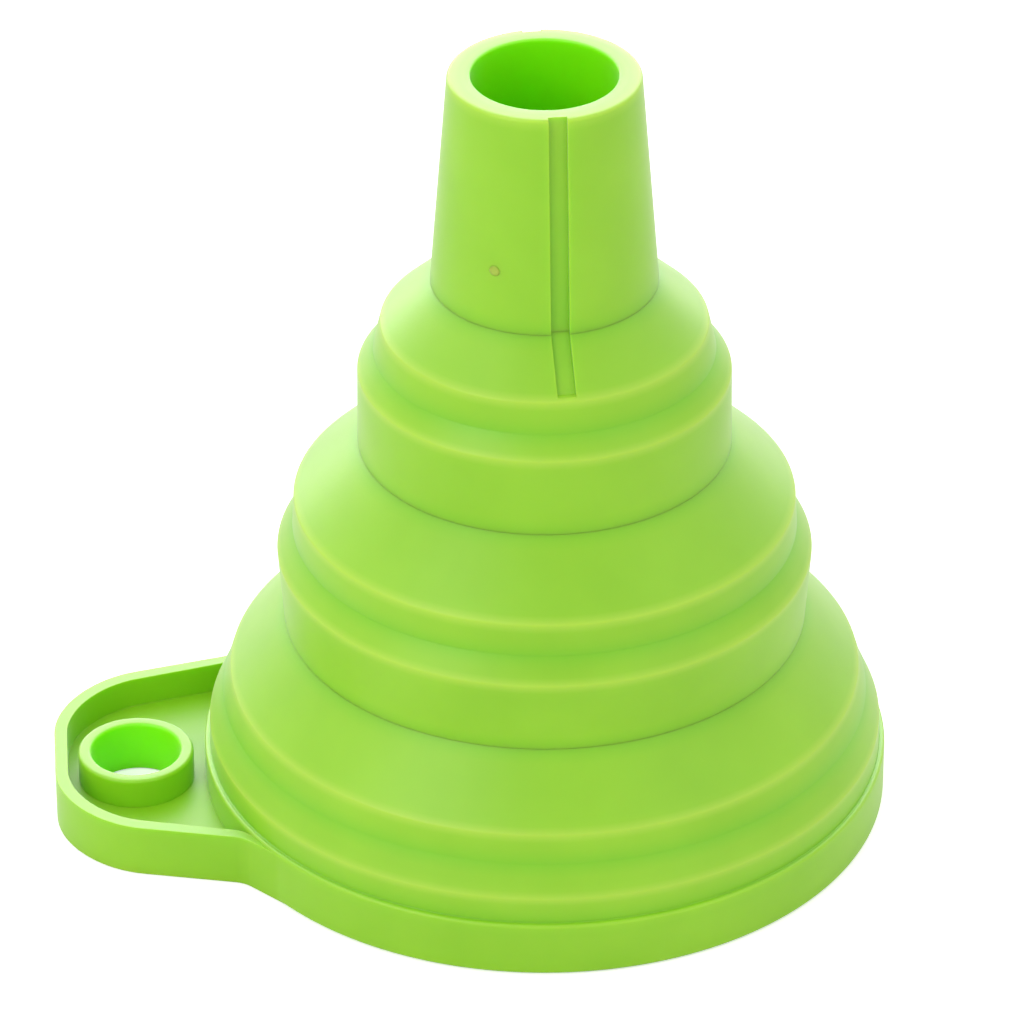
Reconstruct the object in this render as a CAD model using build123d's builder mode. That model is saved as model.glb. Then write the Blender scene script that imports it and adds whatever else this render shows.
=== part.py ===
"""Collapsible kitchen funnel, moulded in silicone, standing on its wide mouth.

Millimetres.  +Z runs up the funnel's axis, from the mouth to the spout's tip.
The origin is the centre of the mouth, in the plane of the rim's foot.
The hanging tab points along -X, and the two vent grooves face -Y and +Y.

From the mouth upwards the wall steps inwards three times.  Each step is one tier:
a stiff band that keeps its shape, and a thin web above it that rolls inside out,
so that the tiers drop into each other and the funnel folds nearly flat.
"""
import os

from build123d import *

# Mouth rim: the thick ring that the funnel stands on.
mouth_radius = 37.5
rim_wall = 2.1
rim_height = 6.3
rim_step = 0.6

# Lower tier, from the rim upwards.
collar_wall_height = 2.95
collar_draft = 0.05
collar_ledge_height = 3.5
collar_ledge_width = 1.55
lower_lip_height = 3.05
lower_lip_width = 0.9
lower_cone_height = 6.9
lower_cone_width = 6.0

# Middle tier.
middle_band_height = 8.25
middle_band_flare = 0.6
middle_ledge_height = 2.8
middle_ledge_width = 1.7
middle_lip_height = 3.65
middle_lip_width = 0.2
middle_cone_height = 6.8
middle_cone_width = 7.0

# Upper tier.
upper_band_height = 8.85
upper_band_draft = 0.1
upper_ledge_height = 2.35
upper_ledge_width = 1.7
upper_lip_height = 3.4
upper_lip_width = 0.8
upper_cone_height = 4.95

# Spout.
spout_length = 24.4
spout_tip_radius = 10.2
spout_root_radius = 12.15
spout_wall = 2.5

# Walls and edges.
band_wall = 2.0
web_wall = 1.4
edge_round = 0.4

# Vent grooves, which let air out of the bottle past the spout.
groove_width = 2.0
groove_depth = 0.9
groove_end_gap = 1.2
groove_turn = 3.5

# Hanging tab and its eyelet.
tab_length = 16.5
tab_end_half_width = 13.3
tab_root_half_width = 18.0
tab_root_depth = 3.0
tab_corner_radius = 12.0
tab_height = 6.0
tab_floor = 2.5
tab_wall = 1.4
eyelet_offset = 7.6
eyelet_hole_radius = 4.9
eyelet_wall = 1.45

# Distances of the tab's end, its widest place and its hole from the axis.  The widest place
# lies inside the rim, so that the tab grows out of it at any size of mouth.
tab_reach = mouth_radius + tab_length
tab_root_reach = mouth_radius - tab_root_depth
eyelet_reach = mouth_radius + eyelet_offset
eyelet_outer_radius = eyelet_hole_radius + eyelet_wall

# Heights of the creases and edges, from the rim's top to the spout's tip.
collar_edge_z = rim_height + collar_wall_height
collar_top_z = collar_edge_z + collar_ledge_height
lower_shoulder_z = collar_top_z + lower_lip_height
middle_foot_z = lower_shoulder_z + lower_cone_height
middle_edge_z = middle_foot_z + middle_band_height
middle_top_z = middle_edge_z + middle_ledge_height
middle_shoulder_z = middle_top_z + middle_lip_height
upper_foot_z = middle_shoulder_z + middle_cone_height
upper_edge_z = upper_foot_z + upper_band_height
upper_top_z = upper_edge_z + upper_ledge_height
upper_shoulder_z = upper_top_z + upper_lip_height
spout_root_z = upper_shoulder_z + upper_cone_height
spout_tip_z = spout_root_z + spout_length

# Outer radii of the same creases and edges, from the mouth inwards.
collar_foot_r = mouth_radius - rim_step
collar_edge_r = collar_foot_r - collar_draft
collar_top_r = collar_edge_r - collar_ledge_width
lower_shoulder_r = collar_top_r - lower_lip_width
middle_foot_r = lower_shoulder_r - lower_cone_width
middle_edge_r = middle_foot_r + middle_band_flare
middle_top_r = middle_edge_r - middle_ledge_width
middle_shoulder_r = middle_top_r - middle_lip_width
upper_foot_r = middle_shoulder_r - middle_cone_width
upper_edge_r = upper_foot_r - upper_band_draft
upper_top_r = upper_edge_r - upper_ledge_width
upper_shoulder_r = upper_top_r - upper_lip_width


def turn_ring(outline, rounded):
    """Turn a ring from its section, points as (radius, height), with the named corners rounded."""
    with BuildSketch(Plane.XZ) as section:
        with BuildLine():
            Polyline(*outline, close=True)
        make_face()
        corners = [
            v for v in section.vertices()
            if any(abs(v.X - r) + abs(v.Y - z) < edge_round / 10 for r, z in rounded)
        ]
        fillet(corners, edge_round)
    revolve(section.sketch, axis=Axis.Z)


def band_outline(foot, edge, top):
    """Section of a stiff band: an upright wall below and a sloping ledge above."""
    return [
        foot,
        edge,
        top,
        (top[0] - band_wall, top[1]),
        (edge[0] - band_wall, edge[1] - band_wall / 4),
        (foot[0] - band_wall, foot[1]),
    ]


def web_outline(foot, shoulder, top):
    """Section of a folding web: a short lip below and a cone above, thin between its ends."""
    return [
        foot,
        shoulder,
        top,
        (top[0] - band_wall, top[1]),
        (shoulder[0] - web_wall, shoulder[1] - web_wall / 2),
        (foot[0] - band_wall, foot[1]),
    ]


def cut_groove(angle, floor_line):
    """Cut one vent groove at an angle about the axis; floor_line runs along the groove's bottom."""
    side = Plane(origin=(0, 0, 0), x_dir=Vector(1, 0, 0).rotate(Axis.Z, angle),
                 z_dir=Vector(0, -1, 0).rotate(Axis.Z, angle))
    open_side = [(r + 2 * groove_depth, z) for r, z in reversed(floor_line)]
    with BuildSketch(side) as groove:
        with BuildLine():
            Polyline(*floor_line, *open_side, close=True)
        make_face()
    extrude(groove.sketch, amount=groove_width / 2, both=True, mode=Mode.SUBTRACT)


groove_angles = (-90 + groove_turn, 90 + groove_turn)

collar_foot = (collar_foot_r, rim_height)
collar_edge = (collar_edge_r, collar_edge_z)
collar_top = (collar_top_r, collar_top_z)
lower_shoulder = (lower_shoulder_r, lower_shoulder_z)
middle_foot = (middle_foot_r, middle_foot_z)
middle_edge = (middle_edge_r, middle_edge_z)
middle_top = (middle_top_r, middle_top_z)
middle_shoulder = (middle_shoulder_r, middle_shoulder_z)
upper_foot = (upper_foot_r, upper_foot_z)
upper_edge = (upper_edge_r, upper_edge_z)
upper_top = (upper_top_r, upper_top_z)
upper_shoulder = (upper_shoulder_r, upper_shoulder_z)

# The thick ring round the mouth: a straight bore inside, flat foot below.
with BuildPart() as mouth_rim:
    turn_ring(
        [
            (mouth_radius - rim_wall, 0),
            (mouth_radius, 0),
            (mouth_radius, rim_height),
            (mouth_radius - rim_wall, rim_height),
        ],
        [(mouth_radius, rim_height), (mouth_radius, 0)],
    )

# The collar above the rim, with its sloping ledge.
with BuildPart() as mouth_collar:
    turn_ring(band_outline(collar_foot, collar_edge, collar_top), [collar_edge])

# The web that carries the middle band on the collar.
with BuildPart() as lower_web:
    turn_ring(web_outline(collar_top, lower_shoulder, middle_foot), [lower_shoulder])

with BuildPart() as middle_band:
    turn_ring(band_outline(middle_foot, middle_edge, middle_top), [middle_edge])

# The web that carries the upper band on the middle band.
with BuildPart() as middle_web:
    turn_ring(web_outline(middle_top, middle_shoulder, upper_foot), [middle_shoulder])

with BuildPart() as upper_band:
    turn_ring(band_outline(upper_foot, upper_edge, upper_top), [upper_edge])

# The web at the spout's root.  Its top face is as wide as the spout's wall, and the
# vent grooves run on down its cone and stop short of the shoulder.
cone_slope = (upper_shoulder_r - spout_root_radius) / upper_cone_height
groove_end_z = upper_shoulder_z + groove_end_gap
groove_end_r = upper_shoulder_r - groove_end_gap * cone_slope
with BuildPart() as upper_web:
    turn_ring(
        [
            upper_top,
            upper_shoulder,
            (spout_root_radius, spout_root_z),
            (spout_root_radius - spout_wall, spout_root_z),
            (upper_shoulder_r - web_wall, upper_shoulder_z - web_wall / 2),
            (upper_top_r - band_wall, upper_top_z),
        ],
        [upper_shoulder],
    )
    for groove_angle in groove_angles:
        cut_groove(
            groove_angle,
            [
                (groove_end_r - groove_depth / 2, groove_end_z),
                (spout_root_radius - groove_depth, spout_root_z + edge_round),
            ],
        )

# The tapered spout, open right through, with a vent groove down each side.
with BuildPart() as spout:
    turn_ring(
        [
            (spout_root_radius, spout_root_z),
            (spout_tip_radius, spout_tip_z),
            (spout_tip_radius - spout_wall, spout_tip_z),
            (spout_root_radius - spout_wall, spout_root_z),
        ],
        [(spout_tip_radius, spout_tip_z), (spout_tip_radius - spout_wall, spout_tip_z)],
    )
    for groove_angle in groove_angles:
        cut_groove(
            groove_angle,
            [
                (spout_root_radius - groove_depth, spout_root_z),
                (spout_tip_radius - groove_depth, spout_tip_z),
            ],
        )


def tab_outline():
    """Draw the tab from the axis outwards: straight sides, and an end with two round corners."""
    with BuildSketch() as outline:
        with BuildLine():
            Polyline(
                (0, -tab_root_half_width),
                (-tab_root_reach, -tab_root_half_width),
                (-tab_reach, -tab_end_half_width),
                (-tab_reach, tab_end_half_width),
                (-tab_root_reach, tab_root_half_width),
                (0, tab_root_half_width),
                close=True,
            )
        make_face()
        fillet(outline.vertices().group_by(Axis.X)[0], tab_corner_radius)
    return outline.sketch


# The tab's floor, with the hole that the eyelet stands round.
with BuildPart() as hang_tab:
    with BuildSketch():
        add(tab_outline())
        Circle(mouth_radius, mode=Mode.SUBTRACT)
        with Locations((-eyelet_reach, 0)):
            Circle(eyelet_hole_radius, mode=Mode.SUBTRACT)
    extrude(amount=tab_floor)

# The raised wall round the tab's edge, which runs into the rim at both ends.
with BuildPart() as tab_border:
    with BuildSketch(Plane.XY.offset(tab_floor)):
        add(tab_outline())
        offset(amount=-tab_wall, mode=Mode.SUBTRACT)
        Circle(mouth_radius, mode=Mode.SUBTRACT)
    extrude(amount=tab_height - tab_floor)

# The raised ring round the hole, for a hook or a cord.
with BuildPart() as tab_eyelet:
    with BuildSketch(Plane.XY.offset(tab_floor)):
        with Locations((-eyelet_reach, 0)):
            Circle(eyelet_outer_radius)
            Circle(eyelet_hole_radius, mode=Mode.SUBTRACT)
    extrude(amount=tab_height - tab_floor)
    fillet(tab_eyelet.edges().group_by(Axis.Z)[-1], edge_round / 2)

# How far each tier can drop into the one outside it: until its web, turned inside out,
# is stretched straight between its two ends.
def fold_travel(foot, shoulder, top):
    """Distance that a web's foot end drops below its rest height when the web is turned over."""
    length = Vector(*top).sub(Vector(*shoulder)).length + Vector(*shoulder).sub(Vector(*foot)).length
    across = top[0] - foot[0]
    return foot[1] - top[1] + (length**2 - across**2) ** 0.5


print("lower fold travel", round(fold_travel(middle_foot, lower_shoulder, collar_top), 2))
print("middle fold travel", round(fold_travel(upper_foot, middle_shoulder, middle_top), 2))
spout_root = (spout_root_radius, spout_root_z)
print("upper fold travel", round(fold_travel(spout_root, upper_shoulder, upper_top), 2))

mouth_rim.part.label = "mouth_rim"
mouth_collar.part.label = "mouth_collar"
lower_web.part.label = "lower_web"
middle_band.part.label = "middle_band"
middle_web.part.label = "middle_web"
upper_band.part.label = "upper_band"
upper_web.part.label = "upper_web"
spout.part.label = "spout"
hang_tab.part.label = "hang_tab"
tab_border.part.label = "tab_border"
tab_eyelet.part.label = "tab_eyelet"

os.makedirs("parts", exist_ok=True)
export_step(mouth_rim.part, "parts/mouth_rim.step")
export_step(mouth_collar.part, "parts/mouth_collar.step")
export_step(lower_web.part, "parts/lower_web.step")
export_step(middle_band.part, "parts/middle_band.step")
export_step(middle_web.part, "parts/middle_web.step")
export_step(upper_band.part, "parts/upper_band.step")
export_step(upper_web.part, "parts/upper_web.step")
export_step(spout.part, "parts/spout.step")
export_step(hang_tab.part, "parts/hang_tab.step")
export_step(tab_border.part, "parts/tab_border.step")
export_step(tab_eyelet.part, "parts/tab_eyelet.step")
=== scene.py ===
# %% [markdown]
# # A folding silicone funnel
# The funnel is one soft moulding. Its wall steps inwards three times on the way from the wide mouth to
# the spout, and each step can drop into the one outside it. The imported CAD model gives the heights
# where its pieces meet, and every joint. This script models the soft, rounded skins that are seen.

# %% Load the frame
import math

import bmesh
import bpy
from mathutils import Matrix, Vector


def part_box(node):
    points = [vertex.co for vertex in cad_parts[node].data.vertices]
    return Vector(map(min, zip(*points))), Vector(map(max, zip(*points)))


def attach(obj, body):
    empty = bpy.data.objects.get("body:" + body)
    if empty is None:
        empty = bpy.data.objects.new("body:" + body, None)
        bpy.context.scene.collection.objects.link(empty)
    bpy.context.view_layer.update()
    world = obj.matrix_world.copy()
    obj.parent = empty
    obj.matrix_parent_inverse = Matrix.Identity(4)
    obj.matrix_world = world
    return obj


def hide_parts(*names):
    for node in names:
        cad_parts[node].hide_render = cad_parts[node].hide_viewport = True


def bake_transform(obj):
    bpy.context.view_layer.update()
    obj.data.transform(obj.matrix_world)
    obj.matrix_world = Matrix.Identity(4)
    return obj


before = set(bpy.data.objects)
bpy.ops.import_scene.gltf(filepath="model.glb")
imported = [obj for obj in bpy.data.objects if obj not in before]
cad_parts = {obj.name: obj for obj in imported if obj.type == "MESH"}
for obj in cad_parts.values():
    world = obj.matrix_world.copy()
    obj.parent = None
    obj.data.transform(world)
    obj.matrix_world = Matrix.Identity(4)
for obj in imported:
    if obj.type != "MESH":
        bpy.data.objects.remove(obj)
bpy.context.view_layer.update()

MM = 0.001

# %% [markdown]
# ## Heights and radii
# A turned part is described by its section: a list of radii and heights. The heights where one piece
# hands over to the next are read from the frame, so that the skins always meet the CAD pieces. Each
# such place is a pair of radius and height, in millimetres, called the foot or the top of its part.

# %% Read where each ring starts and ends
def ring(node):
    """Lowest height, highest height and outer radius of a turned node, in millimetres."""
    low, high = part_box(node)
    return low[2] / MM, high[2] / MM, high[1] / MM


rim_foot_z, rim_top_z, rim_r = ring("mouth_rim")
_, collar_top_z, collar_foot_r = ring("mouth_collar")
_, middle_foot_z, collar_top_r = ring("lower_web")
_, middle_top_z, middle_edge_r = ring("middle_band")
_, upper_foot_z, middle_top_r = ring("middle_web")
_, upper_top_z, upper_foot_r = ring("upper_band")
_, spout_root_z, upper_top_r = ring("upper_web")
_, spout_tip_z, spout_root_r = ring("spout")

MIDDLE_FOOT_RADIUS = 28.4
collar_foot = (collar_foot_r, rim_top_z)
collar_top = (collar_top_r, collar_top_z)
middle_foot = (MIDDLE_FOOT_RADIUS, middle_foot_z)
middle_top = (middle_top_r, middle_top_z)
upper_foot = (upper_foot_r, upper_foot_z)
upper_top = (upper_top_r, upper_top_z)
spout_root = (spout_root_r, spout_root_z)
print("mouth radius", round(rim_r, 2), "tip height", round(spout_tip_z, 2))

# %% [markdown]
# ## Rounded corners
# Silicone comes out of the mould with soft edges. The section is drawn as one flat face, and each of
# its corners is cut back by a vertex bevel. For an arc of a given radius, the bevel has to start at
# radius x tan(turn / 2) from the corner, where turn is how much the outline turns there.

# %% Draw a section and round its corners
ARC_STEPS = 5
ARC_STEPS_PER_MM = 1.5
SHARP_ANGLE = math.radians(35)
MERGE_DISTANCE = 1e-7


def draw_outline(bm, corners, place):
    """Make one flat face from (u, v, radius) corners, and round each corner that has a radius."""
    verts = [bm.verts.new(place(u, v)) for u, v, _ in corners]
    bm.faces.new(verts)
    for i, (_, _, radius) in enumerate(corners):
        if radius == 0:
            continue
        here = verts[i].co
        before = (Vector(place(*corners[i - 1][:2])) - here).normalized()
        after = (Vector(place(*corners[(i + 1) % len(corners)][:2])) - here).normalized()
        turn = math.pi - before.angle(after)
        bmesh.ops.bevel(
            bm,
            geom=[verts[i]],
            offset=radius * MM * math.tan(turn / 2),
            offset_type="OFFSET",
            affect="VERTICES",
            segments=max(ARC_STEPS, round(radius * ARC_STEPS_PER_MM)),
            profile=0.5,
            material=-1,
        )


def keep(bm, name):
    """Turn a bmesh into an object with outward normals and smooth shading between sharp edges."""
    bmesh.ops.remove_doubles(bm, verts=bm.verts, dist=MERGE_DISTANCE)
    bmesh.ops.recalc_face_normals(bm, faces=bm.faces)
    mesh = bpy.data.meshes.new(name)
    bm.to_mesh(mesh)
    bm.free()
    mesh.shade_smooth()
    mesh.set_sharp_from_angle(angle=SHARP_ANGLE)
    piece = bpy.data.objects.new(name, mesh)
    bpy.context.scene.collection.objects.link(piece)
    return piece


print("corners take at least", ARC_STEPS, "steps")

# %% [markdown]
# ## Turning a skin
# The section is spun once round the axis, as the mould's cavity was turned on a lathe. Long straight
# stretches are divided first, because a fold can only bend where there are points to bend at.

# %% Spin a section round the axis
TURN_STEPS = 180
LONGEST_EDGE = 0.9


def turn_skin(name, corners):
    """Spin a closed section of (radius, height, rounding) corners into a skin."""
    bm = bmesh.new()
    draw_outline(bm, corners, lambda r, z: (r * MM, 0, z * MM))
    for edge in list(bm.edges):
        cuts = int(edge.calc_length() / MM / LONGEST_EDGE)
        if cuts:
            bmesh.ops.subdivide_edges(bm, edges=[edge], cuts=cuts)
    bmesh.ops.delete(bm, geom=bm.faces[:], context="FACES_ONLY")
    bmesh.ops.spin(
        bm,
        geom=bm.verts[:] + bm.edges[:],
        cent=(0, 0, 0),
        axis=(0, 0, 1),
        angle=math.tau,
        steps=TURN_STEPS,
        use_merge=True,
        use_duplicate=False,
    )
    piece = keep(bm, name)
    print(name, len(piece.data.polygons), "faces")
    return piece


print("one turn takes", TURN_STEPS, "steps")

# %% [markdown]
# ## The mouth, its collar and the lower fold
# The rim is the thickest ring, and it carries the collar. Above the collar's ledge the wall is thin
# enough to roll inside out. One closed skin covers all of it, up to the crease of the middle tier.
# The edges between the feet and the tops are given as a radius and a rise from the place below.

# %% Model the mouth skin
BAND_WALL = 2.0
WEB_WALL = 1.4
SPOUT_WALL = 2.5
RIM_WALL = 2.1
SOFT_EDGE = 0.4
SOFT_CREASE = 0.2
COLLAR_EDGE_RADIUS = 36.85
COLLAR_WALL_RISE = 2.95
LOWER_SHOULDER_RADIUS = 34.4
LOWER_LIP_RISE = 3.05

collar_edge = (COLLAR_EDGE_RADIUS, rim_top_z + COLLAR_WALL_RISE)
lower_shoulder = (LOWER_SHOULDER_RADIUS, collar_top_z + LOWER_LIP_RISE)


def inside(corner, wall, drop):
    """The point on the inner wall behind a corner of the outer wall."""
    return (corner[0] - wall, corner[1] - drop, SOFT_EDGE)


mouth_skin = turn_skin("mouth_skin", [
    (rim_r, rim_foot_z, 0.5),
    (rim_r, rim_top_z, 0.4),
    (*collar_foot, 0.15),
    (*collar_edge, SOFT_EDGE),
    (*collar_top, SOFT_CREASE),
    (*lower_shoulder, SOFT_EDGE),
    (*middle_foot, 0),
    (MIDDLE_FOOT_RADIUS - BAND_WALL, middle_foot_z, 0),
    inside(lower_shoulder, WEB_WALL, WEB_WALL / 2),
    (collar_top_r - BAND_WALL, collar_top_z, SOFT_CREASE),
    inside(collar_edge, BAND_WALL, BAND_WALL / 4),
    (collar_foot_r - BAND_WALL, rim_top_z, 0),
    (rim_r - RIM_WALL, rim_top_z, 0),
    (rim_r - RIM_WALL, rim_foot_z, 0.3),
])

# %% [markdown]
# ## The middle and upper tiers
# Each is a stiff band, a ledge, and the next thin web. Their lower and upper ends lie in the creases,
# where the wall bends sharply inwards, so the joins between skins are hidden there.

# %% Model the two tiers
MIDDLE_BAND_RISE = 8.25
MIDDLE_SHOULDER_RADIUS = 27.1
MIDDLE_LIP_RISE = 3.65
UPPER_EDGE_RADIUS = 20.0
UPPER_BAND_RISE = 8.85
UPPER_SHOULDER_RADIUS = 17.5
UPPER_LIP_RISE = 3.4

middle_edge = (middle_edge_r, middle_foot_z + MIDDLE_BAND_RISE)
middle_shoulder = (MIDDLE_SHOULDER_RADIUS, middle_top_z + MIDDLE_LIP_RISE)
upper_edge = (UPPER_EDGE_RADIUS, upper_foot_z + UPPER_BAND_RISE)
upper_shoulder = (UPPER_SHOULDER_RADIUS, upper_top_z + UPPER_LIP_RISE)


def tier_skin(name, foot, edge, top, shoulder, end, end_wall):
    """One tier from its foot to the next part's foot, which has end_wall as its thickness."""
    return turn_skin(name, [
        (*foot, 0),
        (*edge, SOFT_EDGE),
        (*top, SOFT_CREASE),
        (*shoulder, SOFT_EDGE),
        (*end, 0),
        (end[0] - end_wall, end[1], 0),
        inside(shoulder, WEB_WALL, WEB_WALL / 2),
        (top[0] - BAND_WALL, top[1], SOFT_CREASE),
        inside(edge, BAND_WALL, BAND_WALL / 4),
        (foot[0] - BAND_WALL, foot[1], 0),
    ])


middle_skin = tier_skin("middle_tier_skin", middle_foot, middle_edge, middle_top, middle_shoulder,
                        upper_foot, BAND_WALL)
upper_skin = tier_skin("upper_tier_skin", upper_foot, upper_edge, upper_top, upper_shoulder,
                       spout_root, SPOUT_WALL)

# %% [markdown]
# ## The spout
# The spout is a plain tapered tube with a thick wall, so it doesn't fold. Its draft is how much the
# radius shrinks for each millimetre of height, and it lets the spout slip off its core.

# %% Model the spout
SPOUT_TIP_RADIUS = 10.2
spout_skin = turn_skin("spout_skin", [
    (*spout_root, 0),
    (SPOUT_TIP_RADIUS, spout_tip_z, 0.45),
    (SPOUT_TIP_RADIUS - SPOUT_WALL, spout_tip_z, 0.3),
    (spout_root_r - SPOUT_WALL, spout_root_z, 0),
])
draft = (spout_root_r - SPOUT_TIP_RADIUS) / (spout_tip_z - spout_root_z)
print("spout draft", round(draft, 3))

# %% [markdown]
# ## Cutting with another shape
# A groove or a pocket is cut by a Boolean modifier: a second closed mesh takes its volume away. The
# result is applied at once and the cutter is deleted, so the finished piece is a plain mesh. Cutters
# are flat outlines pulled into prisms, and drums.

# %% Cut one mesh with another
DRUM_SIDES = 128


def apply_modifiers(piece):
    """Give a piece the mesh that its modifiers make."""
    graph = bpy.context.evaluated_depsgraph_get()
    mesh = bpy.data.meshes.new_from_object(piece.evaluated_get(graph))
    old = piece.data
    piece.modifiers.clear()
    piece.data = mesh
    bpy.data.meshes.remove(old)
    mesh.name = piece.name


def combine(piece, other, operation):
    """Join another closed mesh to a piece, or take it away, and delete the other."""
    modifier = piece.modifiers.new("combine", "BOOLEAN")
    modifier.operation = operation
    modifier.solver = "EXACT"
    modifier.object = other
    apply_modifiers(piece)
    bpy.data.objects.remove(other)


def cut(piece, cutter):
    """Take a closed cutter's volume away from a piece."""
    combine(piece, cutter, "DIFFERENCE")


def settle_normals(piece):
    """Let large faces keep their own direction, so that flat floors beside round edges look flat."""
    piece.data.set_sharp_from_angle(angle=SHARP_ANGLE)
    modifier = piece.modifiers.new("settle", "WEIGHTED_NORMAL")
    modifier.keep_sharp = True
    apply_modifiers(piece)


def prism(name, corners, place, rise):
    """A flat outline pulled straight along a direction into a closed block."""
    bm = bmesh.new()
    draw_outline(bm, corners, place)
    made = bmesh.ops.extrude_face_region(bm, geom=bm.faces[:])
    top = [v for v in made["geom"] if isinstance(v, bmesh.types.BMVert)]
    bmesh.ops.translate(bm, verts=top, vec=rise)
    return keep(bm, name)


def drum(name, x, radius, low, high):
    """An upright round cutter, in millimetres."""
    bm = bmesh.new()
    bmesh.ops.create_cone(bm, cap_ends=True, segments=DRUM_SIDES, radius1=radius * MM,
                          radius2=radius * MM, depth=(high - low) * MM)
    bmesh.ops.translate(bm, verts=bm.verts, vec=(x * MM, 0, (low + high) / 2 * MM))
    return keep(bm, name)


print("cutters are prisms and drums with", DRUM_SIDES, "sides")

# %% [markdown]
# ## The vent grooves
# Air has to leave the bottle while liquid runs in, so a shallow groove runs down each side of the
# spout, through the tip's edge, over the cone below, and stops square just before the shoulder.

# %% Cut the vent grooves
GROOVE_WIDTH = 2.0
GROOVE_DEPTH = 0.7
GROOVE_TURN = math.radians(3.5)
GROOVE_STOP = 0.3
OVERRUN = 3.0
LINE_OVERLAP = 1.0
cone_slope = (upper_shoulder[0] - spout_root_r) / (spout_root_z - upper_shoulder[1])
groove_end = upper_shoulder[1] + GROOVE_STOP


def groove_cutter(angle, line):
    """A slab that follows the wall's line from below, as wide as the groove."""
    out = Vector((math.cos(angle), math.sin(angle), 0))
    side = Vector((-out.y, out.x, 0)) * GROOVE_WIDTH / 2 * MM
    corners = [(r, z, 0) for r, z in line] + [(r + OVERRUN, z, 0) for r, z in reversed(line)]
    return prism("groove", corners, lambda r, z: out * r * MM + Vector((0, 0, z * MM)) - side, side * 2)


cone_line = [
    (upper_shoulder[0] - GROOVE_STOP * cone_slope - GROOVE_DEPTH, groove_end),
    (spout_root_r - GROOVE_DEPTH, spout_root_z),
    (spout_root_r - GROOVE_DEPTH, spout_root_z + LINE_OVERLAP),
]
spout_line = [
    (spout_root_r - GROOVE_DEPTH + draft * LINE_OVERLAP, spout_root_z - LINE_OVERLAP),
    (SPOUT_TIP_RADIUS - GROOVE_DEPTH - draft * LINE_OVERLAP, spout_tip_z + LINE_OVERLAP),
]
for facing in (-math.pi / 2, math.pi / 2):
    cut(upper_skin, groove_cutter(facing + GROOVE_TURN, cone_line))
    cut(spout_skin, groove_cutter(facing + GROOVE_TURN, spout_line))
for grooved in (upper_skin, spout_skin):
    settle_normals(grooved)
print("grooves cut", len(spout_skin.data.polygons), "faces on the spout")

# %% [markdown]
# ## The hanging tab
# A shallow tray grows out of the rim: a floor, a thin raised wall round its edge, and a raised ring
# round the hole. The outline is drawn once, as one side and its mirror image, and the tray's pocket is
# the same outline, smaller by the wall. The rim's own space is cut out before the tab joins it.

# %% Model the tab and its eyelet
tab_low, tab_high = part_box("tab_border")
tab_end_x = tab_low[0] / MM
tab_top_z = tab_high[2] / MM
tab_floor_z = tab_low[2] / MM
eyelet_low, eyelet_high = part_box("tab_eyelet")
eyelet_x = (eyelet_low[0] + eyelet_high[0]) / 2 / MM
eyelet_r = (eyelet_high[0] - eyelet_low[0]) / 2 / MM
EYELET_WALL = 1.45
TAB_WALL = 1.4
TAB_SOFT_EDGE = 0.35
TAB_ROOT = (-29.6, 22.6)
TAB_NECK = (-34.0, 18.1)
NECK_ROUNDING = 3.0
TAB_HALF_WIDTH = 13.3
TAB_ROUNDING = 12.0
POCKET_RISE = 6.0
DRUM_LOW, DRUM_HIGH = -5, 15


def tab_corners(inset):
    """The tab's outline from above, set in by a wall; it flares where it meets the rim."""
    side = [
        (TAB_ROOT[0], TAB_ROOT[1] - inset, 0),
        (TAB_NECK[0], TAB_NECK[1] - inset, NECK_ROUNDING),
        (tab_end_x + inset, TAB_HALF_WIDTH - inset, TAB_ROUNDING - inset),
    ]
    return [(x, -y, rounding) for x, y, rounding in side] + side[::-1]


def level(z):
    """A horizontal plane at a height, to draw an outline on."""
    return lambda x, y: (x * MM, y * MM, z * MM)


tab_skin = prism("hang_tab_skin", tab_corners(0), level(0), (0, 0, tab_top_z * MM))
cut(tab_skin, prism("pocket", tab_corners(TAB_WALL), level(tab_floor_z), (0, 0, POCKET_RISE * MM)))
cut(tab_skin, drum("rim_space", 0, rim_r - RIM_WALL / 2, DRUM_LOW, DRUM_HIGH))
cut(tab_skin, drum("hole", eyelet_x, eyelet_r - EYELET_WALL / 2, DRUM_LOW, DRUM_HIGH))

soften = tab_skin.modifiers.new("soft_edges", "BEVEL")
soften.width = TAB_SOFT_EDGE * MM
soften.segments = 3
soften.limit_method = "ANGLE"
soften.angle_limit = math.radians(50)

eyelet_skin = turn_skin("tab_eyelet_skin", [
    (eyelet_r, 0, 0),
    (eyelet_r, tab_top_z, 0.4),
    (eyelet_r - EYELET_WALL, tab_top_z, 0.4),
    (eyelet_r - EYELET_WALL, 0, 0.3),
])
eyelet_skin.data.transform(Matrix.Translation((eyelet_x * MM, 0, 0)))
combine(tab_skin, eyelet_skin, "UNION")
combine(mouth_skin, tab_skin, "UNION")
settle_normals(mouth_skin)
print("mouth with its tab", len(mouth_skin.data.polygons), "faces")

# %% [markdown]
# ## Painted highlight on thin edges and painted shade in creases
# On a translucent moulding a convex edge looks paler, because light comes through it from two sides,
# and a crease looks darker, because light bounces in it. Both are painted into the base colour: a number
# on each vertex, 1 at an edge and -1 in a crease, sets the painted highlight and the painted shade. It
# follows the rings, so it stays right when they move.

# %% Mark edges and creases
EDGE_REACH = 0.55
CREASE_REACH = 0.9


def write_numbers(piece, name, values):
    """Store one number for each vertex of a piece, under a name that the material reads."""
    attribute = piece.data.attributes.new(name, "FLOAT", "POINT")
    attribute.data.foreach_set("value", values)


def nearest(point, rings):
    """Distance from a point (radius, height) to the nearest ring."""
    return min(math.hypot(point[0] - radius, point[1] - height) for radius, height in rings)


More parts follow.
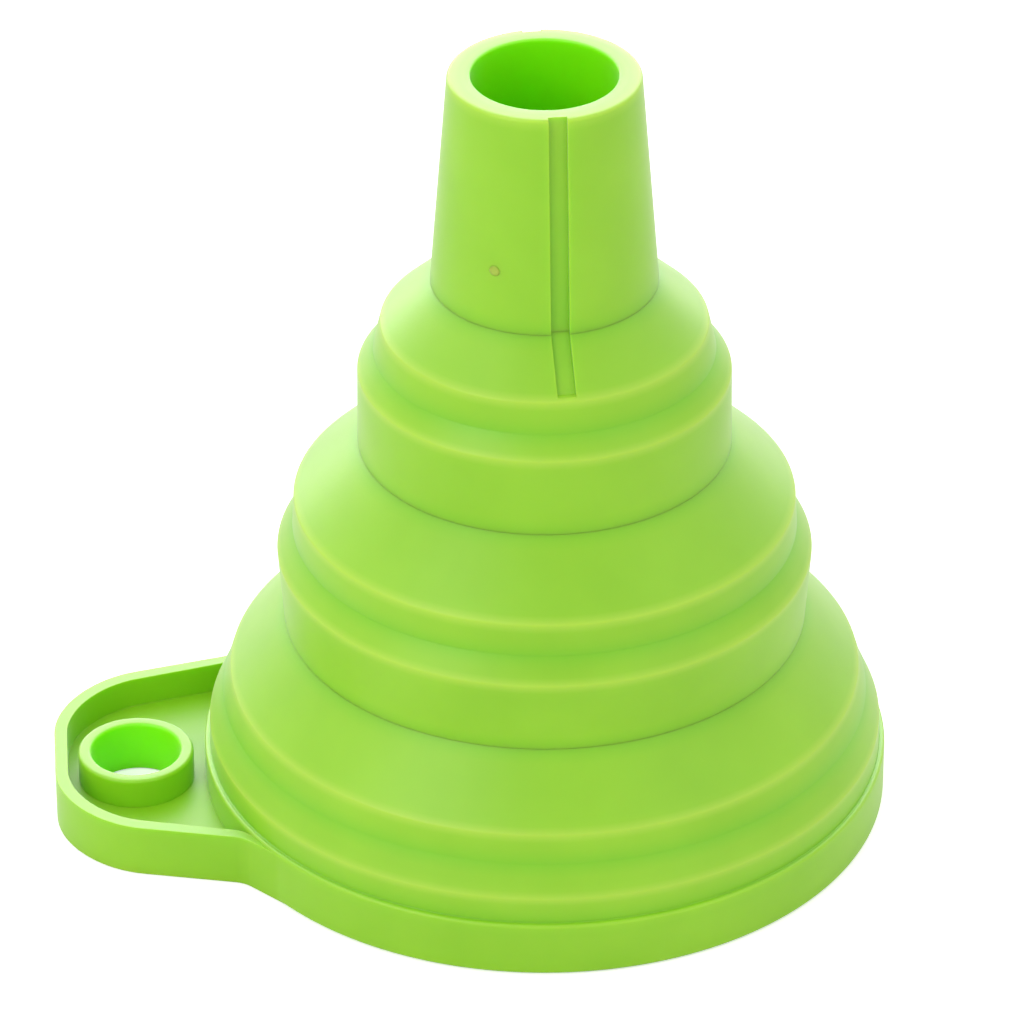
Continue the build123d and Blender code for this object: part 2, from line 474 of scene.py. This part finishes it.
def mark_painted_light_and_shade(piece, edges, creases):
    """Write the painted highlight at edges, less the painted shade in creases, on a piece from the rings
    (radius, height) of its edges and creases.
    """
    light_and_shade_amounts = []
    for vertex in piece.data.vertices:
        x, y, z = vertex.co / MM
        point = (math.hypot(x, y), z)
        edge = math.exp(-(nearest(point, edges) / EDGE_REACH) ** 2)
        crease = math.exp(-(nearest(point, creases) / CREASE_REACH) ** 2)
        light_and_shade_amounts.append(edge - crease)
    write_numbers(piece, "painted_edge_light_crease_shade", light_and_shade_amounts)


spout_tip = (SPOUT_TIP_RADIUS, spout_tip_z)
bore_tip = (SPOUT_TIP_RADIUS - SPOUT_WALL, spout_tip_z)
mark_painted_light_and_shade(mouth_skin, [(rim_r, rim_top_z), collar_edge, lower_shoulder],
          [collar_foot, collar_top, middle_foot])
mark_painted_light_and_shade(middle_skin, [middle_edge, middle_shoulder], [middle_foot, middle_top, upper_foot])
mark_painted_light_and_shade(upper_skin, [upper_edge, upper_shoulder], [upper_foot, upper_top, spout_root])
mark_painted_light_and_shade(spout_skin, [spout_tip, bore_tip], [spout_root])
print("edges reach", EDGE_REACH, "mm and creases", CREASE_REACH, "mm")

# %% [markdown]
# ## Painted glow in the narrow hollows
# Inside the spout and the eyelet, light that comes through the wall bounces from green to green. That
# glow is painted: a second number marks those inner walls, and the material paints a brighter, purer
# green there.

# %% Mark the narrow hollows
WALL_REACH = 0.1


def mark_hollow(piece, centre_x, radius, lowest, taper=0.0):
    """Write hollow = 1 on the vertices of a narrow upright bore, where a glow is painted, and 0 on the
    rest.
    """
    values = []
    for vertex in piece.data.vertices:
        x, y, z = vertex.co / MM
        inner = math.hypot(x - centre_x, y) < radius - taper * (z - lowest)
        values.append(1.0 if inner and z >= lowest - WALL_REACH else 0.0)
    write_numbers(piece, "hollow", values)
    print(piece.name, int(sum(values)), "vertices in its hollow")


mark_hollow(spout_skin, 0, spout_root_r - SPOUT_WALL + 0.4, spout_root_z, draft)
mark_hollow(mouth_skin, eyelet_x, eyelet_r - EYELET_WALL + 0.2, 0)

# %% [markdown]
# ## The gate mark
# Where the rubber was let into the mould, a small round scar stands just proud of the spout.

# %% Model the gate mark
GATE_RADIUS = 0.6
GATE_PROUD = 0.12
GATE_Z = 70.5
GATE_AZIMUTH = math.radians(-121)
gate_wall_r = spout_root_r - draft * (GATE_Z - spout_root_z)
bm = bmesh.new()
bmesh.ops.create_uvsphere(bm, u_segments=24, v_segments=12, radius=GATE_RADIUS * MM)
bmesh.ops.scale(bm, verts=bm.verts, vec=(GATE_PROUD / GATE_RADIUS, 1, 1))
bmesh.ops.translate(bm, verts=bm.verts, vec=(gate_wall_r * MM, 0, GATE_Z * MM))
bmesh.ops.rotate(bm, verts=bm.verts, cent=(0, 0, 0), matrix=Matrix.Rotation(GATE_AZIMUTH, 3, "Z"))
gate_mark = keep(bm, "gate_mark")
# The scar's top gets the painted highlight from the same edge mark.
mark_painted_light_and_shade(gate_mark, [(gate_wall_r, GATE_Z)], [spout_root])
print("gate mark at height", GATE_Z)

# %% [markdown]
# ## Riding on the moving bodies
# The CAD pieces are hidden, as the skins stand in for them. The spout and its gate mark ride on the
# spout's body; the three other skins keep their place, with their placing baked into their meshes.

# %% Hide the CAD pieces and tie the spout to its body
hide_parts("mouth_rim", "mouth_collar", "lower_web", "hang_tab", "tab_border", "tab_eyelet")
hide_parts("middle_band", "middle_web")
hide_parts("upper_band", "upper_web")
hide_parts("spout")


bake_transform(mouth_skin)
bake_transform(middle_skin)
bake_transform(upper_skin)
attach(spout_skin, "spout")
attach(gate_mark, "spout")

# %% [markdown]
# ## Lime silicone
# Silicone rubber is matt, a little milky, and lets light travel a few millimetres inside it, which
# softens its shadows and makes thin edges glow. Subsurface scattering gives that. The mould was
# spark-eroded, so the skin has a very fine grain, and it looks paler where it is seen at a low angle.

# %% Make the silicone
def linear(hex_colour):
    """Turn an sRGB hex colour into the linear values that the shader works in."""
    values = [int(hex_colour[i:i + 2], 16) / 255 for i in (1, 3, 5)]
    return [v / 12.92 if v <= 0.04045 else ((v + 0.055) / 1.055) ** 2.4 for v in values] + [1.0]


def add_node(tree, kind, settings=(), links=()):
    """Add a node, set its properties and inputs by name, and link its inputs."""
    node = tree.nodes.new(kind)
    for name, value in dict(settings).items():
        if hasattr(node, name):
            setattr(node, name, value)
        else:
            node.inputs[name].default_value = value
    for name, source in dict(links).items():
        tree.links.new(source, node.inputs[name])
    return node


silicone = bpy.data.materials.new("moulded_lime_silicone")
silicone.use_nodes = True
tree = silicone.node_tree
shader = tree.nodes["Principled BSDF"]
shader.inputs["Roughness"].default_value = 0.45
shader.inputs["IOR"].default_value = 1.41
shader.inputs["Subsurface Weight"].default_value = 0.7
shader.inputs["Subsurface Radius"].default_value = (0.7, 1.0, 0.15)
shader.inputs["Subsurface Scale"].default_value = 1.6 * MM
shader.inputs["Sheen Weight"].default_value = 0.4
shader.inputs["Sheen Roughness"].default_value = 0.3
shader.inputs["Sheen Tint"].default_value = linear("#F2FFE2")
shader.inputs["Coat Weight"].default_value = 0.35
shader.inputs["Coat Roughness"].default_value = 0.4

place = add_node(tree, "ShaderNodeTexCoord").outputs["Object"]
CLOUD_MM = 14.0
cloud = add_node(tree, "ShaderNodeTexNoise", {"Scale": 1000 / CLOUD_MM, "Detail": 3.0}, {"Vector": place})
colour = add_node(tree, "ShaderNodeValToRGB", {}, {"Fac": cloud.outputs["Fac"]})
colour.color_ramp.elements[0].position = 0.3
colour.color_ramp.elements[0].color = linear("#92CE18")
colour.color_ramp.elements[1].position = 0.7
colour.color_ramp.elements[1].color = linear("#9CD624")

MIX_UNDER, MIX_OVER, MIX_COLOUR = 6, 7, 2


def tint(tree, under, amount, hex_colour):
    """Mix a colour over another by an amount from a socket, and give the mixed colour's socket."""
    mix = add_node(tree, "ShaderNodeMix", {"data_type": "RGBA"}, {"Factor": amount})
    tree.links.new(under, mix.inputs[MIX_UNDER])
    mix.inputs[MIX_OVER].default_value = linear(hex_colour)
    return mix.outputs[MIX_COLOUR]


light_and_shade = add_node(tree, "ShaderNodeAttribute", {"attribute_name": "painted_edge_light_crease_shade"}).outputs["Fac"]
edge = add_node(tree, "ShaderNodeMapRange", {"From Max": 1.0, "To Max": 0.6}, {"Value": light_and_shade})
crease = add_node(tree, "ShaderNodeMapRange", {"From Max": -1.0, "To Max": 0.6}, {"Value": light_and_shade})
inner = add_node(tree, "ShaderNodeAttribute", {"attribute_name": "hollow"}).outputs["Fac"]
# Painted highlight: the base colour turns paler towards convex edges. Painted shade: it turns a darker
# green in creases.
painted_edge_highlight = tint(tree, colour.outputs["Color"], edge.outputs[0], "#BFE04C")
painted_crease_shade = tint(tree, painted_edge_highlight, crease.outputs[0], "#78CC0A")
# Painted glow: a brighter, purer green on the inner walls of the spout and the eyelet.
painted_bore_glow = tint(tree, painted_crease_shade, inner, "#90F400")
tree.links.new(painted_bore_glow, shader.inputs["Base Color"])

GRAIN_MM = 0.35
grain = add_node(tree, "ShaderNodeTexNoise", {"Scale": 1000 / GRAIN_MM, "Detail": 2.0}, {"Vector": place})
bump = add_node(tree, "ShaderNodeBump", {"Strength": 0.12, "Distance": 0.05 * MM},
                {"Height": grain.outputs["Fac"]})
tree.links.new(bump.outputs["Normal"], shader.inputs["Normal"])

for piece in (mouth_skin, middle_skin, upper_skin, spout_skin, gate_mark):
    piece.data.materials.clear()
    piece.data.materials.append(silicone)
print("material", silicone.name, "has", len(silicone.node_tree.nodes), "nodes")

# %% [markdown]
# ## Floor
# The funnel stands on a white surface. The floor's own light is seen by the camera alone, so it lifts
# the floor to white without lighting the object. It lies a hair below the rim, so they don't flicker.

# %% Set the stage
FLOOR_HALF = 4.0
FLOOR_DROP = 0.0001
FLOOR_LIFT = 0.5
floor_mesh = bpy.data.meshes.new("floor")
bm = bmesh.new()
bmesh.ops.create_grid(bm, x_segments=1, y_segments=1, size=FLOOR_HALF)
bm.to_mesh(floor_mesh)
bm.free()
floor = bpy.data.objects.new("floor", floor_mesh)
bpy.context.scene.collection.objects.link(floor)
paper = bpy.data.materials.new("white_paper_sweep")
paper.use_nodes = True
tree = paper.node_tree
shader = tree.nodes["Principled BSDF"]
shader.inputs["Base Color"].default_value = linear("#F4F4F4")
shader.inputs["Roughness"].default_value = 0.9
shader.inputs["Specular IOR Level"].default_value = 0.0
shader.inputs["Emission Color"].default_value = (1, 1, 1, 1)
seen = add_node(tree, "ShaderNodeLightPath")
lift = add_node(tree, "ShaderNodeMath", {"operation": "MULTIPLY"}, {0: seen.outputs["Is Camera Ray"]})
lift.inputs[1].default_value = FLOOR_LIFT
tree.links.new(lift.outputs[0], shader.inputs["Emission Strength"])
floor_mesh.materials.append(paper)
floor_mesh.transform(Matrix.Translation((0, 0, -FLOOR_DROP)))
print("floor", 2 * FLOOR_HALF, "m wide")

# %% [markdown]
# ## Light
# The studio is even and bright. The world is full white where the camera or a reflection sees it, and
# weaker as a light. Three soft lamps model the form, and a white reflector behind the object is seen
# only as gloss, on the faces that look up.

# %% Light it
world = bpy.data.worlds.new("studio")
bpy.context.scene.world = world
world.use_nodes = True
tree = world.node_tree
sky = tree.nodes["Background"]
sky.inputs["Color"].default_value = (1, 1, 1, 1)
seen = add_node(tree, "ShaderNodeLightPath")
direct = add_node(tree, "ShaderNodeMath", {"operation": "MAXIMUM"},
                  {0: seen.outputs["Is Camera Ray"], 1: seen.outputs["Is Glossy Ray"]})
strength = add_node(tree, "ShaderNodeMapRange", {"To Min": 0.73, "To Max": 1.0},
                    {"Value": direct.outputs[0]})
tree.links.new(strength.outputs[0], sky.inputs["Strength"])


LAMP_TARGET = Vector((0, 0, 0.04))


def soft_box(name, place, size, watts):
    """A square lamp that looks at the funnel's middle."""
    lamp = bpy.data.lights.new(name, "AREA")
    lamp.size = size
    lamp.energy = watts
    box = bpy.data.objects.new(name, lamp)
    box.location = place
    aim = LAMP_TARGET - Vector(place)
    box.rotation_euler = aim.to_track_quat("-Z", "Y").to_euler()
    bpy.context.scene.collection.objects.link(box)
    return box


soft_box("key", (-0.55, -0.45, 0.55), 0.5, 2.0)
soft_box("fill", (0.6, -0.5, 0.45), 0.6, 0.6)
soft_box("back", (0.0, 0.8, 0.7), 1.6, 6.0)
reflector = soft_box("reflector", (0.0, 0.8, 0.6), 1.8, 34.0)
reflector.visible_diffuse = False
print("three lamps and a reflector")

# %% [markdown]
# ## Camera
# The camera looks down on the funnel from in front, a little towards the tab, through a long lens.
# Its lens is shifted, as when a picture is cropped off centre.

# %% Place the camera
CAMERA_DISTANCE = 0.7221
CAMERA_RISE = math.radians(32.23)
CAMERA_SIDE = math.radians(-90 - 4.4)
AIM = Vector((0, 0, 0.030))
LENS_LENGTH = 233.9
LENS_SHIFT = (-0.0318, 0.0345)
camera_data = bpy.data.cameras.new("camera")
camera = bpy.data.objects.new("camera", camera_data)
back = Vector((
    math.cos(CAMERA_RISE) * math.cos(CAMERA_SIDE),
    math.cos(CAMERA_RISE) * math.sin(CAMERA_SIDE),
    math.sin(CAMERA_RISE),
))
camera.location = AIM + back * CAMERA_DISTANCE
camera.rotation_euler = (-back).to_track_quat("-Z", "Y").to_euler()
camera_data.lens = LENS_LENGTH
camera_data.shift_x, camera_data.shift_y = LENS_SHIFT
camera_data.clip_start = 0.01
bpy.context.scene.collection.objects.link(camera)
bpy.context.scene.camera = camera
bpy.context.scene.view_settings.view_transform = "Standard"
print("camera at", [round(v, 3) for v in camera.location])
